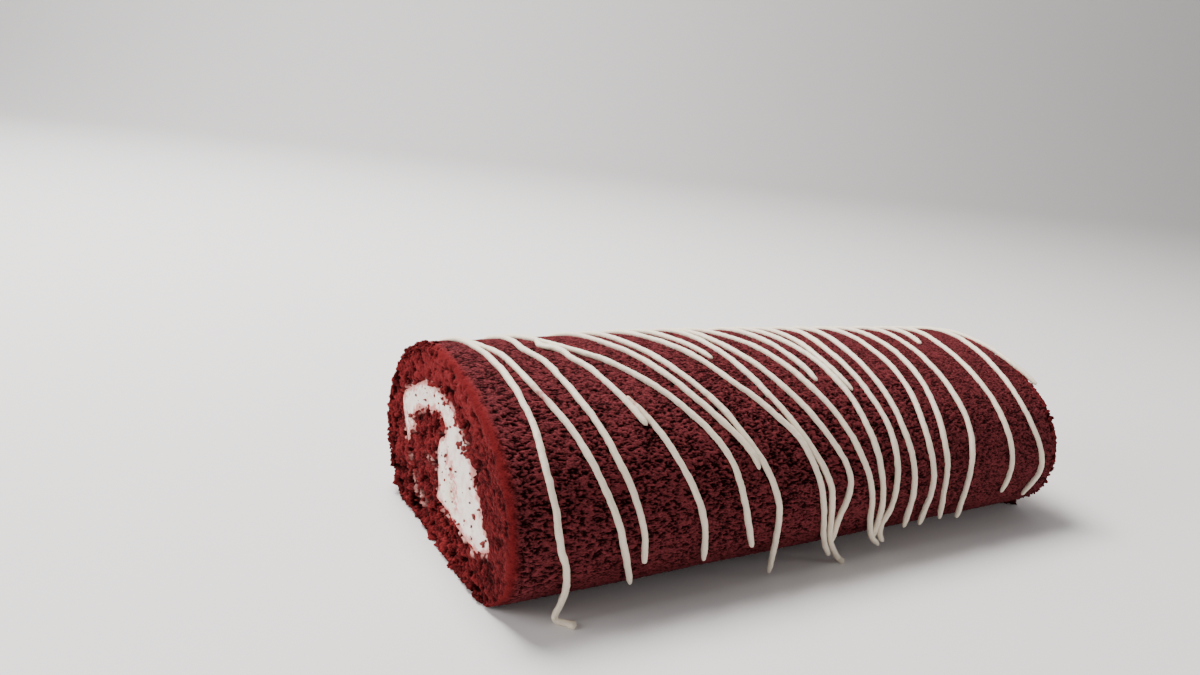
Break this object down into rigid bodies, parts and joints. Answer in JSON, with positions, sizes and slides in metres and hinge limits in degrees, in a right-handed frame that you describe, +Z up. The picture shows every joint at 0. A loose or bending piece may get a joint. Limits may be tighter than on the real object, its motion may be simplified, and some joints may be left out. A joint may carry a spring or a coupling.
{
  "type": "swiss roll cake",
  "caption": "Whole red sponge swiss roll with a white cream filling that shows at both cuts and white icing drizzled across it.",
  "frame": {"origin": "middle of the cake's box at the level of the board it lies on", "axes": "+X along the roll away from the shown cut, +Y towards the unseen side, +Z up"},
  "size_m": [0.2572, 0.1216, 0.0728],
  "materials": {
    "sponge": "matt dark red sponge with small dark pores, rougher and a little brighter where it is cut",
    "cream": "soft whipped white cream with red crumbs in it",
    "drizzle": "set off-white icing, smooth with a faint satin sheen"
  },
  "bodies": {
    "root": {"sponge": "sponge", "cream": "cream"}
  },
  "joints": []
}
